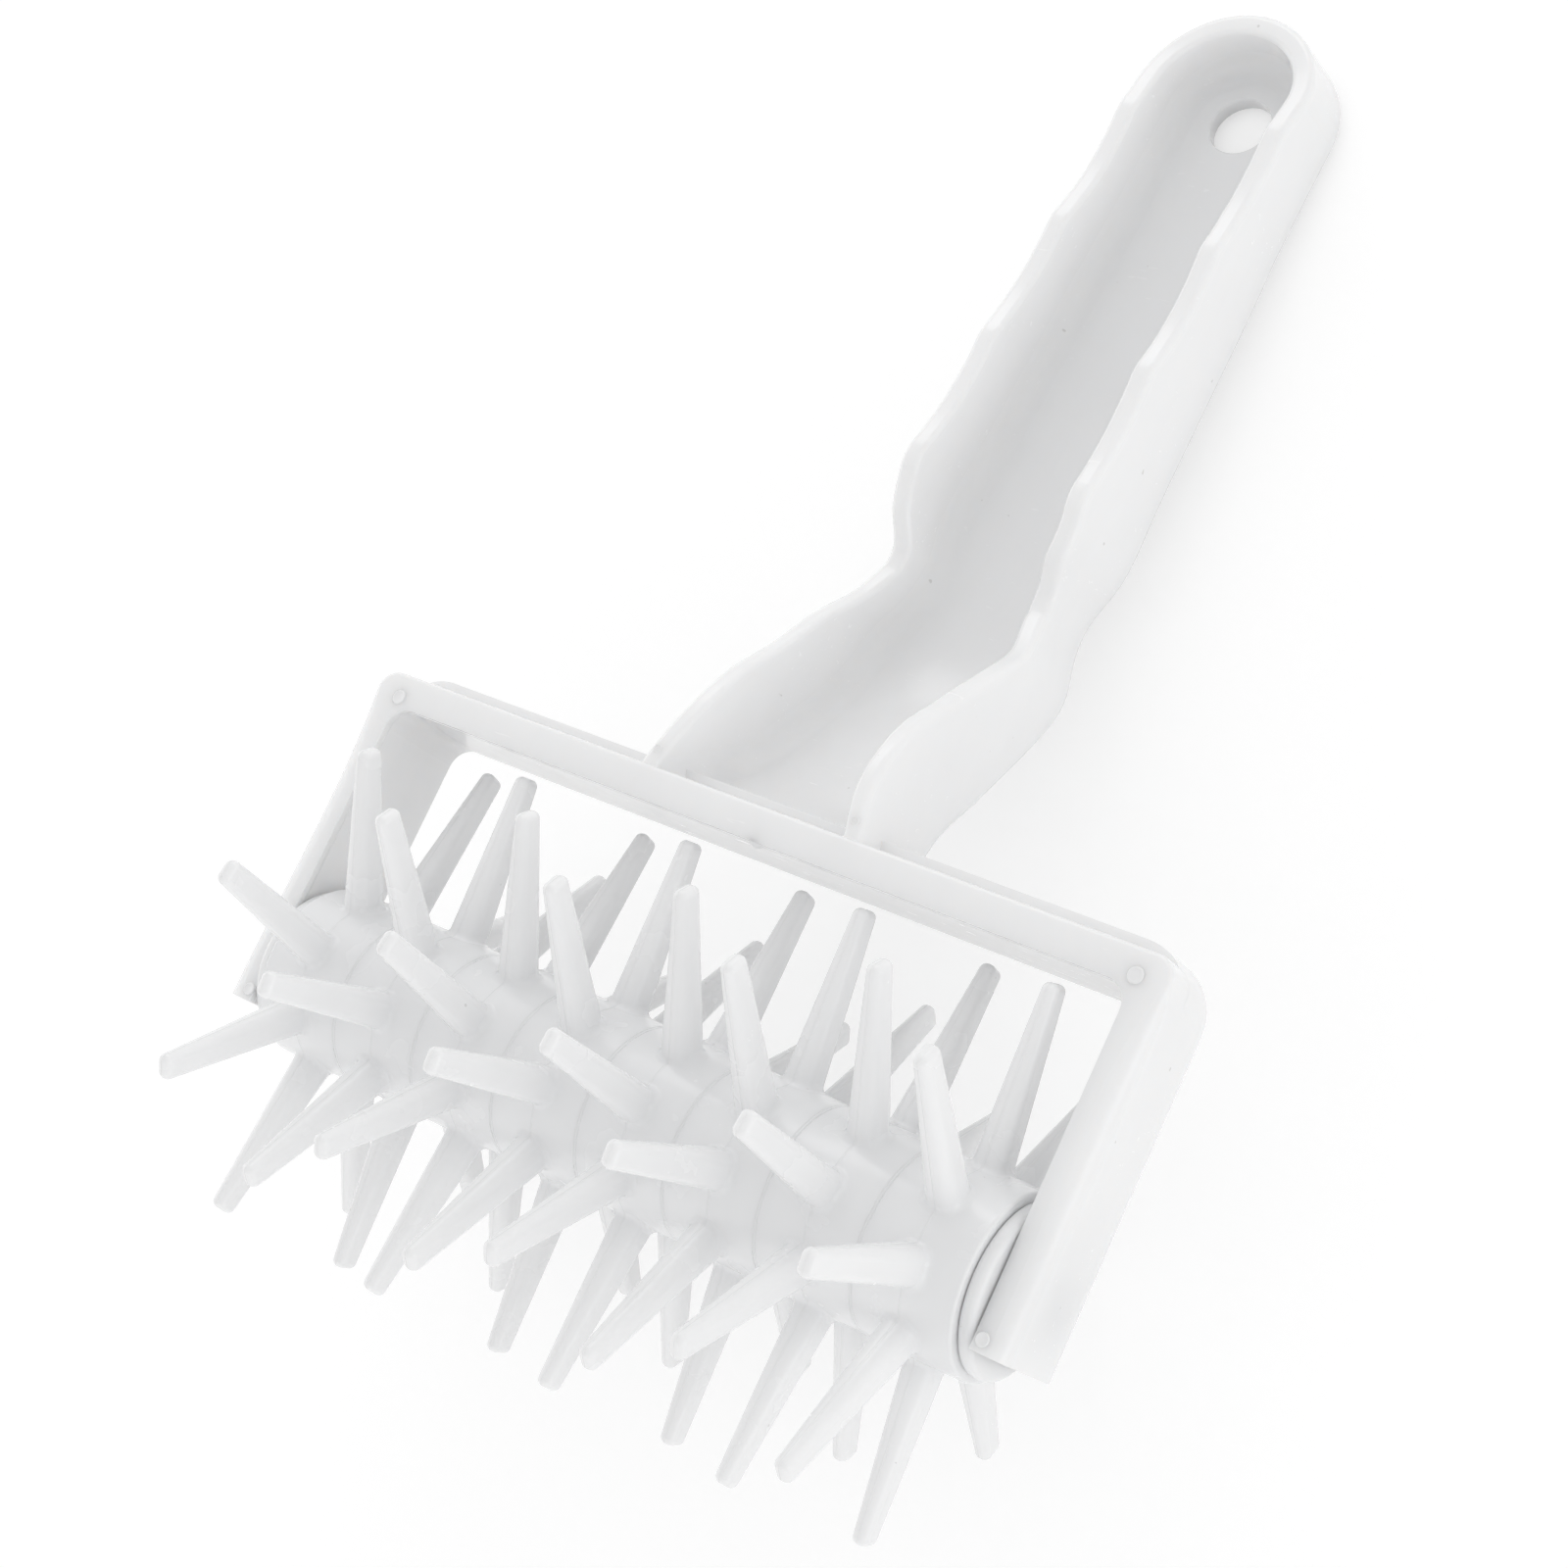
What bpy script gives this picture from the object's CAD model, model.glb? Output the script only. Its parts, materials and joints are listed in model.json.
import json
import math

import bmesh
import bpy
from mathutils import Matrix, Vector


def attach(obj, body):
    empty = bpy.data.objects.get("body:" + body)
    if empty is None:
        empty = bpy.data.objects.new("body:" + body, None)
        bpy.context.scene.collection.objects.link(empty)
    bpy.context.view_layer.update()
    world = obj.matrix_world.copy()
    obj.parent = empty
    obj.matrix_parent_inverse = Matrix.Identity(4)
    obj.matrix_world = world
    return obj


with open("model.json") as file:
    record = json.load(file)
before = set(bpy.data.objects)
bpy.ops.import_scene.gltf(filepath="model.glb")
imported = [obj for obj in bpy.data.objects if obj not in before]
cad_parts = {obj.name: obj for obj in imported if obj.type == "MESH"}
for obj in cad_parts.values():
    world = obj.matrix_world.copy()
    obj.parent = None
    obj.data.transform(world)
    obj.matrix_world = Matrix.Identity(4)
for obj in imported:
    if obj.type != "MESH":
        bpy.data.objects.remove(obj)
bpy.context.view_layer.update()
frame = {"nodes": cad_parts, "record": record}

# Sizes of the solids in millimetres, measured from the axle

MM = 0.001
AXLE = Vector(frame["record"]["behaviour"]["joints"][0]["pos_m"])
RING_COUNT = 8
RING_PITCH = 14.6
CORE_RADIUS = 12.4
YOKE_FRONT = 8.8
WINDOW_HALF_WIDTH = 60.83
WINDOW_LENGTH = 38.0
WINDOW_CORNER = 3.3
ARM_TAIL = 8.3


def at(x, along, up):
    """Point in metres from millimetres: across, from the axle to the handle, and up."""
    return AXLE + Vector((x, along, up)) * MM


# Camera, at the photograph's viewing angle

SENSOR_WIDTH = 36.0
FOCAL_LENGTH = 63.33
CLIP_NEAR, CLIP_FAR = 0.01, 20.0
CAMERA_PLACE = (198.8, -2.6, 303.8)
CAMERA_RIGHT = (0.7883, 0.4207, -0.4490)
CAMERA_BACK = (0.5446, -0.1375, 0.8273)


def photo_camera():
    data = bpy.data.cameras.new("camera")
    data.sensor_width = SENSOR_WIDTH
    data.lens = FOCAL_LENGTH
    data.clip_start = CLIP_NEAR
    data.clip_end = CLIP_FAR
    camera = bpy.data.objects.new("camera", data)
    bpy.context.scene.collection.objects.link(camera)
    right = Vector(CAMERA_RIGHT).normalized()
    back = Vector(CAMERA_BACK).normalized()
    up = back.cross(right).normalized()
    right = up.cross(back)
    turn = Matrix((right, up, back)).transposed().to_4x4()
    camera.matrix_world = Matrix.Translation(at(*CAMERA_PLACE)) @ turn
    bpy.context.scene.camera = camera


photo_camera()


# Materials

class Nodes:
    """Short helper for building a node tree."""

    def __init__(self, tree):
        self.tree = tree
        self.tree.nodes.clear()

    def add(self, kind, **settings):
        node = self.tree.nodes.new(kind)
        for key, value in settings.items():
            setattr(node, key, value)
        return node

    def link(self, source, target):
        self.tree.links.new(source, target)

    def math(self, operation, first, second=None, third=None, clamp=False):
        node = self.add("ShaderNodeMath", operation=operation, use_clamp=clamp)
        for socket, value in zip(node.inputs, (first, second, third)):
            if value is None:
                continue
            if isinstance(value, (int, float)):
                socket.default_value = value
            else:
                self.link(value, socket)
        return node.outputs[0]

    def noise(self, vector, scale, detail=2.0, roughness=0.5, distortion=0.0):
        node = self.add("ShaderNodeTexNoise")
        self.link(vector, node.inputs["Vector"])
        node.inputs["Scale"].default_value = scale
        node.inputs["Detail"].default_value = detail
        node.inputs["Roughness"].default_value = roughness
        node.inputs["Distortion"].default_value = distortion
        return node.outputs["Fac"]

    def span(self, value, low, high, to_low, to_high, smooth=False):
        node = self.add("ShaderNodeMapRange")
        node.interpolation_type = "SMOOTHSTEP" if smooth else "LINEAR"
        self.link(value, node.inputs["Value"])
        for name, number in (("From Min", low), ("From Max", high), ("To Min", to_low), ("To Max", to_high)):
            node.inputs[name].default_value = number
        return node.outputs["Result"]

    def mixed(self, factor, first, second, blend="MIX"):
        """Mixes two colours, each a socket or a tuple, by a factor's socket."""
        node = self.add("ShaderNodeMix", data_type="RGBA", blend_type=blend)
        self.link(factor, node.inputs["Factor"])
        for name, colour in (("A", first), ("B", second)):
            if isinstance(colour, tuple):
                node.inputs[name].default_value = colour
            else:
                self.link(colour, node.inputs[name])
        return node.outputs["Result"]

    def place(self):
        return self.add("ShaderNodeTexCoord").outputs["Object"]

    def scaled(self, vector, x, y, z):
        node = self.add("ShaderNodeVectorMath", operation="MULTIPLY")
        self.link(vector, node.inputs[0])
        node.inputs[1].default_value = (x, y, z)
        return node.outputs[0]


# Noise scales are per metre
CLOUD_SCALE, CLOUD_DETAIL, CLOUD_ROUGHNESS, CLOUD_SHARE = 42, 3.0, 0.55, 0.7
STREAK_SCALE, STREAK_PULL, STREAK_BEND, STREAK_SHARE = 260, 0.22, 0.6, 0.3
TONE_FROM, TONE_TO = 0.35, 0.65
DARK_SHARE, LIGHT_SHARE = 0.985, 1.008
FLECK_SCALE, FLECK_FROM, FLECK_TO, FLECK_STRENGTH = 820, 0.885, 0.90, 0.35
FLECK_COLOUR = (0.42, 0.41, 0.39, 1.0)
DENSE_TINT = (0.945, 0.948, 0.952, 1.0)


def resin_colour(n, place, colour, dense):
    """Cloudy resin with long flow streaks and a few grey flecks, darker where it is dense."""
    cloud = n.noise(place, CLOUD_SCALE, CLOUD_DETAIL, CLOUD_ROUGHNESS)
    pulled = n.scaled(place, 1.0, STREAK_PULL, 1.0)
    streak = n.noise(pulled, STREAK_SCALE, distortion=STREAK_BEND)
    tone = n.math("MULTIPLY_ADD", cloud, CLOUD_SHARE, n.math("MULTIPLY", streak, STREAK_SHARE))
    low = tuple(channel * DARK_SHARE for channel in colour)
    high = tuple(min(1.0, channel * LIGHT_SHARE) for channel in colour)
    resin = n.mixed(n.span(tone, TONE_FROM, TONE_TO, 0.0, 1.0), (*low, 1.0), (*high, 1.0))
    fleck = n.span(n.noise(place, FLECK_SCALE, 0.0), FLECK_FROM, FLECK_TO, 0.0, 1.0)
    resin = n.mixed(n.math("MULTIPLY", fleck, FLECK_STRENGTH), resin, FLECK_COLOUR)
    if dense is not None:
        resin = n.mixed(dense(n, place), resin, DENSE_TINT, "MULTIPLY")
    return resin


SCRATCH_SCALE, SCRATCH_PULL, SCRATCH_ROUGHNESS, SCRATCH_BEND = 1500, 0.16, 0.4, 1.2
SCRATCH_FROM, SCRATCH_TO = 0.70, 0.76
PATCH_SCALE, PATCH_FROM, PATCH_TO = 70, 0.42, 0.66


def wear(n, place):
    """Fine scuffs, 1 along a scratch, that keep to patches of the skin."""
    pulled = n.scaled(place, SCRATCH_PULL, 1.0, 1.0)
    field = n.noise(pulled, SCRATCH_SCALE, 1.0, SCRATCH_ROUGHNESS, SCRATCH_BEND)
    scratch = n.span(field, SCRATCH_FROM, SCRATCH_TO, 0.0, 1.0)
    patch = n.span(n.noise(place, PATCH_SCALE), PATCH_FROM, PATCH_TO, 0.0, 1.0)
    return n.math("MULTIPLY", scratch, patch)


DULL_SCALE, DULL_DETAIL, DULL_STRENGTH = 120, 3.0, 0.12
SCUFF_ROUGHNESS, SCUFF_SINK = 0.22, 0.05
WAVE_SCALE = 95
GRAIN_SCALE, GRAIN_HEIGHT = 2400, 0.035
SKIN_STRENGTH, SKIN_DEPTH = 0.35, 0.00025
COAT_WEIGHT, COAT_ROUGHNESS = 0.25, 0.07
PLASTIC_INDEX, PLASTIC_SPECULAR = 1.49, 0.5
GLOW_RADIUS, GLOW_SCALE = (1.0, 0.96, 0.92), 0.004


def plastic(name, colour, gloss, lines=None, scuffs=0.5, depth=0.7, sink=1.0, dense=None):
    """White moulded plastic: cloudy colour, flow marks, fine moulded skin, scuffs."""
    material = bpy.data.materials.new(name)
    material.use_nodes = True
    n = Nodes(material.node_tree)
    place = n.place()
    out = n.add("ShaderNodeOutputMaterial")
    shader = n.add("ShaderNodeBsdfPrincipled")
    n.link(shader.outputs[0], out.inputs[0])
    n.link(resin_colour(n, place, colour, dense), shader.inputs["Base Color"])

    # Polished skin, duller in cloudy patches and along scuffs
    worn = wear(n, place)
    rough = n.math("MULTIPLY_ADD", n.noise(place, DULL_SCALE, DULL_DETAIL), DULL_STRENGTH, gloss)
    rough = n.math("MULTIPLY_ADD", worn, SCUFF_ROUGHNESS * scuffs, rough, clamp=True)
    n.link(rough, shader.inputs["Roughness"])

    # Slow sink waves, fine moulded grain, scuffs and parting lines
    waves = n.math("MULTIPLY", n.noise(place, WAVE_SCALE), sink)
    grain = n.math("MULTIPLY", n.noise(place, GRAIN_SCALE), GRAIN_HEIGHT)
    height = n.math("ADD", waves, grain)
    height = n.math("SUBTRACT", height, n.math("MULTIPLY", worn, SCUFF_SINK * scuffs))
    if lines is not None:
        height = n.math("ADD", height, lines(n, place))
    bump = n.add("ShaderNodeBump")
    bump.inputs["Strength"].default_value = SKIN_STRENGTH
    bump.inputs["Distance"].default_value = SKIN_DEPTH
    n.link(height, bump.inputs["Height"])
    n.link(bump.outputs[0], shader.inputs["Normal"])

    shader.inputs["Coat Weight"].default_value = COAT_WEIGHT
    shader.inputs["Coat Roughness"].default_value = COAT_ROUGHNESS
    shader.inputs["IOR"].default_value = PLASTIC_INDEX
    shader.inputs["Specular IOR Level"].default_value = PLASTIC_SPECULAR
    shader.inputs["Subsurface Weight"].default_value = depth
    shader.inputs["Subsurface Radius"].default_value = GLOW_RADIUS
    shader.inputs["Subsurface Scale"].default_value = GLOW_SCALE
    return material


LINE_CREST_SHARE, LINE_FOOT_SHARE, LINE_HEIGHT = 0.004, 0.012, 1.1
DENSE_RADIUS, THIN_RADIUS = 11.5, 20


def ring_lines(n, place):
    """Parting line round the middle of every ring and along both sides of its spikes."""
    split = n.add("ShaderNodeSeparateXYZ")
    n.link(place, split.inputs[0])
    turns = n.math("DIVIDE", split.outputs["X"], RING_PITCH * MM)
    share = n.math("FRACT", n.math("ADD", turns, RING_COUNT))
    offset = n.math("ABSOLUTE", n.math("SUBTRACT", share, 0.5))
    return n.span(offset, LINE_CREST_SHARE, LINE_FOOT_SHARE, LINE_HEIGHT, 0.0, smooth=True)


def ring_thickness(n, place):
    """1 in the thick core, where the resin looks denser, falling to 0 out along the spikes."""
    reach = n.add("ShaderNodeVectorMath", operation="DISTANCE")
    n.link(n.scaled(place, 0.0, 1.0, 1.0), reach.inputs[0])
    reach.inputs[1].default_value = (0.0, AXLE.y, AXLE.z)
    return n.span(reach.outputs["Value"], DENSE_RADIUS * MM, THIN_RADIUS * MM, 1.0, 0.0, smooth=True)


FRAME_WHITE = (0.900, 0.902, 0.906)
MARK_WHITE = (0.912, 0.914, 0.918)
RING_WHITE = (0.932, 0.934, 0.938)
AXLE_WHITE = (0.905, 0.907, 0.910)

frame_plastic = plastic("frame_plastic", FRAME_WHITE, 0.17, sink=0.6)
mark_plastic = plastic("mark_plastic", MARK_WHITE, 0.14, depth=0.0, sink=0.0)
ring_plastic = plastic(
    "ring_plastic", RING_WHITE, 0.20, ring_lines, scuffs=0.05, depth=0.12, sink=0.05, dense=ring_thickness
)
axle_plastic = plastic("axle_plastic", AXLE_WHITE, 0.24)


def dress(name, material):
    item = frame["nodes"][name]
    item.data.materials.clear()
    item.data.materials.append(material)


dress("handle_frame", frame_plastic)
for ring_number in range(1, RING_COUNT + 1):
    dress(f"spiked_ring_{ring_number}", ring_plastic)
for name in ("axle", "left_end_disc", "right_end_disc"):
    dress(name, axle_plastic)


# Small moulded marks

def new_piece(name, mesh_maker, material, body):
    mesh = bpy.data.meshes.new(name)
    work = bmesh.new()
    mesh_maker(work)
    bmesh.ops.recalc_face_normals(work, faces=work.faces)
    work.to_mesh(mesh)
    work.free()
    for face in mesh.polygons:
        face.use_smooth = True
    mesh.materials.append(material)
    piece = bpy.data.objects.new(name, mesh)
    bpy.context.scene.collection.objects.link(piece)
    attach(piece, body)


def turned(work, profile, centre, normal, segments=48):
    """Turns a profile of (radius, height) points in millimetres about a normal at a centre."""
    facing = Vector(normal).to_track_quat("Z", "Y").to_matrix()
    rows = []
    for radius, height in profile:
        if radius == 0:
            rows.append([work.verts.new(centre + facing @ Vector((0, 0, height * MM)))])
            continue
        row = []
        for step in range(segments):
            angle = 2 * math.pi * step / segments
            flat = Vector((radius * math.cos(angle), radius * math.sin(angle), height))
            row.append(work.verts.new(centre + facing @ (flat * MM)))
        rows.append(row)
    for near, far in zip(rows, rows[1:]):
        for step in range(segments):
            after = (step + 1) % segments
            inner = (near[step % len(near)], near[after % len(near)])
            outer = (far[after % len(far)], far[step % len(far)])
            work.faces.new(list(dict.fromkeys(inner + outer)))


def frame_mark(name, profile, place, normal):
    """Small round mark on the yoke, turned from a profile about a normal."""
    new_piece(
        name,
        lambda work: turned(work, profile, place, normal),
        mark_plastic,
        "frame",
    )


MARK_ROOT = 0.2

# Witness mark of an ejector pin, a shallow round with a raised lip: radius and height
PIN_MARK = [
    (0, 0.03), (0.66, 0.03), (0.78, 0.09), (0.90, 0.13), (1.0, 0.10),
    (1.14, -0.02), (1.14, -MARK_ROOT), (0, -MARK_ROOT),
]

# Ejector pins right of the middle: across, along, up and relative size
PINS = {
    "corner": (60.9, 39.3, YOKE_FRONT, 1.0),
    "arm_end": (61.95, -6.7, YOKE_FRONT, 0.85),
    "rim": (16.4, 45.2, 8.27, 0.62),
}


for side, word in ((-1, "left"), (1, "right")):
    for pin, (across, along, level, size) in PINS.items():
        profile = [(radius * size, height) for radius, height in PIN_MARK]
        frame_mark(f"pin_mark_{pin}_{word}", profile, at(side * across, along, level), (0, 0, 1))

# Low nub where the moulding's gate was broken off: radius and height
GATE = [
    (0, 0.55), (0.35, 0.52), (0.62, 0.38), (0.80, 0.14), (1.0, 0.03),
    (1.25, -0.01), (1.25, -MARK_ROOT), (0, -MARK_ROOT),
]
GATE_ACROSS, GATE_LEVEL = 3.9, 7.5

frame_mark("gate_mark", GATE, at(GATE_ACROSS, WINDOW_LENGTH, GATE_LEVEL), (0, -1, 0))

CORNER_STEPS = 10
MOULD_LINE_LEVEL = 7.75
MOULD_LINE_WIDTH = 0.30
MOULD_LINE_HEIGHT = 0.07
MOULD_LINE_ROOT = 0.15


def window_path():
    """Points and inward directions along the yoke's inner faces, arm end to arm end."""
    rows = [(-WINDOW_HALF_WIDTH, -ARM_TAIL, 1, 0)]
    for side in (-1, 1):
        middle_x = side * (WINDOW_HALF_WIDTH - WINDOW_CORNER)
        middle_y = WINDOW_LENGTH - WINDOW_CORNER
        for step in range(CORNER_STEPS + 1):
            angle = math.radians(90 * step / CORNER_STEPS)
            if side > 0:
                angle = math.radians(90) - angle
            way_x, way_y = side * math.cos(angle), math.sin(angle)
            rows.append((middle_x + way_x * WINDOW_CORNER, middle_y + way_y * WINDOW_CORNER, -way_x, -way_y))
    rows.append((WINDOW_HALF_WIDTH, -ARM_TAIL, -1, 0))
    return rows


def mould_line(work):
    """Fine raised line along the yoke's inner faces."""
    foot = MOULD_LINE_WIDTH / 2
    crest = MOULD_LINE_WIDTH / 6
    section = (
        (-MOULD_LINE_ROOT, -MOULD_LINE_WIDTH), (0.0, -foot), (MOULD_LINE_HEIGHT, -crest),
        (MOULD_LINE_HEIGHT, crest), (0.0, foot), (-MOULD_LINE_ROOT, MOULD_LINE_WIDTH),
    )
    rows = []
    for x, y, in_x, in_y in window_path():
        row = [at(x + in_x * out, y + in_y * out, MOULD_LINE_LEVEL + up) for out, up in section]
        rows.append([work.verts.new(point) for point in row])
    for near, far in zip(rows, rows[1:]):
        for index in range(len(section)):
            after = (index + 1) % len(section)
            work.faces.new((near[index], near[after], far[after], far[index]))
    work.faces.new(rows[0])
    work.faces.new(rows[-1])


new_piece("mould_line_inner", mould_line, mark_plastic, "frame")

# Rounded band low in the groove between neighbouring rings
BAND_ROOT_RADIUS, BAND_ROOT_HALF = 11.6, 0.45
BAND_EDGE_RADIUS, BAND_EDGE_HALF = CORE_RADIUS - 0.22, 0.38
BAND_CREST_RADIUS = CORE_RADIUS - 0.15
BAND_SEGMENTS = 96
BAND = [
    (BAND_ROOT_RADIUS, -BAND_ROOT_HALF), (BAND_EDGE_RADIUS, -BAND_EDGE_HALF), (BAND_CREST_RADIUS, 0.0),
    (BAND_EDGE_RADIUS, BAND_EDGE_HALF), (BAND_ROOT_RADIUS, BAND_ROOT_HALF),
]


def seam_band(seam):
    centre = at((seam - RING_COUNT / 2) * RING_PITCH, 0, 0)
    new_piece(
        f"seam_band_{seam}",
        lambda work: turned(work, BAND, centre, (1, 0, 0), BAND_SEGMENTS),
        ring_plastic,
        "roller",
    )


for seam in range(1, RING_COUNT):
    seam_band(seam)


# Floor, soft studio light and white surround

WHITE = (1.0, 1.0, 1.0, 1.0)
HORIZON_LEVEL, ZENITH_LEVEL, ZENITH_FROM = 1.04, 0.72, 0.95
DARK_SIDE = (0.78, -0.12, 0.61)
DARK_SIDE_FROM, DARK_SIDE_TO, DARK_SIDE_LEVEL = 0.72, 0.97, 0.96
FLOOR_RADIUS, FLOOR_DROP, FLOOR_SEGMENTS = 4.0, 0.0002, 96
FLOOR_BOUNCE = (0.93, 0.93, 0.93, 1.0)
FLOOR_SEEN = (0.60, 0.60, 0.60, 1.0)
FLOOR_GLOW = 0.50
LAMP_TARGET = (0, 0, 0.03)

# Place in metres, width, height and power in watts
SOFTBOXES = {
    "softbox_right": ((0.9, -0.15, 0.27), 0.7, 0.40, 0.8),
    "softbox_back_left": ((-0.35, 0.85, 0.50), 0.6, 0.30, 0.8),
    "softbox_front": ((-0.25, -0.95, 0.22), 0.8, 0.4, 0.3),
    "softbox_left": ((-0.85, 0.10, 0.34), 0.6, 0.45, 0.35),
}


def surround():
    """Light that falls off to the zenith and the dark side, and plain white for the camera."""
    world = bpy.data.worlds.new("studio")
    bpy.context.scene.world = world
    world.use_nodes = True
    n = Nodes(world.node_tree)
    out = n.add("ShaderNodeOutputWorld")
    direction = n.add("ShaderNodeTexCoord").outputs["Generated"]
    split = n.add("ShaderNodeSeparateXYZ")
    n.link(direction, split.inputs[0])
    level = n.span(split.outputs["Z"], 0.0, ZENITH_FROM, HORIZON_LEVEL, ZENITH_LEVEL, smooth=True)
    towards = n.add("ShaderNodeVectorMath", operation="DOT_PRODUCT")
    n.link(direction, towards.inputs[0])
    towards.inputs[1].default_value = DARK_SIDE
    shade = n.span(towards.outputs["Value"], DARK_SIDE_FROM, DARK_SIDE_TO, 1.0, DARK_SIDE_LEVEL, smooth=True)
    light = n.add("ShaderNodeBackground")
    light.inputs["Color"].default_value = WHITE
    n.link(n.math("MULTIPLY", level, shade), light.inputs["Strength"])
    white = n.add("ShaderNodeBackground")
    white.inputs["Color"].default_value = WHITE
    white.inputs["Strength"].default_value = 1.0
    mix = n.add("ShaderNodeMixShader")
    n.link(n.add("ShaderNodeLightPath").outputs["Is Camera Ray"], mix.inputs[0])
    n.link(light.outputs[0], mix.inputs[1])
    n.link(white.outputs[0], mix.inputs[2])
    n.link(mix.outputs[0], out.inputs[0])


def floor_paint():
    """White floor, lifted by a little glow where it is seen directly or in a reflection."""
    material = bpy.data.materials.new("floor")
    material.use_nodes = True
    n = Nodes(material.node_tree)
    out = n.add("ShaderNodeOutputMaterial")
    path = n.add("ShaderNodeLightPath")
    seen = n.math("MAXIMUM", path.outputs["Is Camera Ray"], path.outputs["Is Glossy Ray"])
    bounce = n.add("ShaderNodeBsdfDiffuse")
    bounce.inputs["Color"].default_value = FLOOR_BOUNCE
    pale = n.add("ShaderNodeBsdfDiffuse")
    pale.inputs["Color"].default_value = FLOOR_SEEN
    glow = n.add("ShaderNodeEmission")
    glow.inputs["Color"].default_value = WHITE
    glow.inputs["Strength"].default_value = FLOOR_GLOW
    both = n.add("ShaderNodeAddShader")
    n.link(pale.outputs[0], both.inputs[0])
    n.link(glow.outputs[0], both.inputs[1])
    mix = n.add("ShaderNodeMixShader")
    n.link(seen, mix.inputs[0])
    n.link(bounce.outputs[0], mix.inputs[1])
    n.link(both.outputs[0], mix.inputs[2])
    n.link(mix.outputs[0], out.inputs[0])
    return material


def white_floor():
    mesh = bpy.data.meshes.new("floor")
    work = bmesh.new()
    bmesh.ops.create_circle(work, cap_ends=True, segments=FLOOR_SEGMENTS, radius=FLOOR_RADIUS)
    work.to_mesh(mesh)
    work.free()
    mesh.materials.append(floor_paint())
    floor = bpy.data.objects.new("floor", mesh)
    floor.location = (0, 0, -FLOOR_DROP)
    bpy.context.scene.collection.objects.link(floor)


def softbox(name, place, width, height, power):
    data = bpy.data.lights.new(name, "AREA")
    data.shape = "RECTANGLE"
    data.size = width
    data.size_y = height
    data.energy = power
    lamp = bpy.data.objects.new(name, data)
    bpy.context.scene.collection.objects.link(lamp)
    lamp.location = place
    lamp.rotation_euler = (Vector(LAMP_TARGET) - Vector(place)).to_track_quat("-Z", "Y").to_euler()


surround()
white_floor()
for name, (place, width, height, power) in SOFTBOXES.items():
    softbox(name, place, width, height, power)

bpy.context.scene.view_settings.view_transform = "Standard"
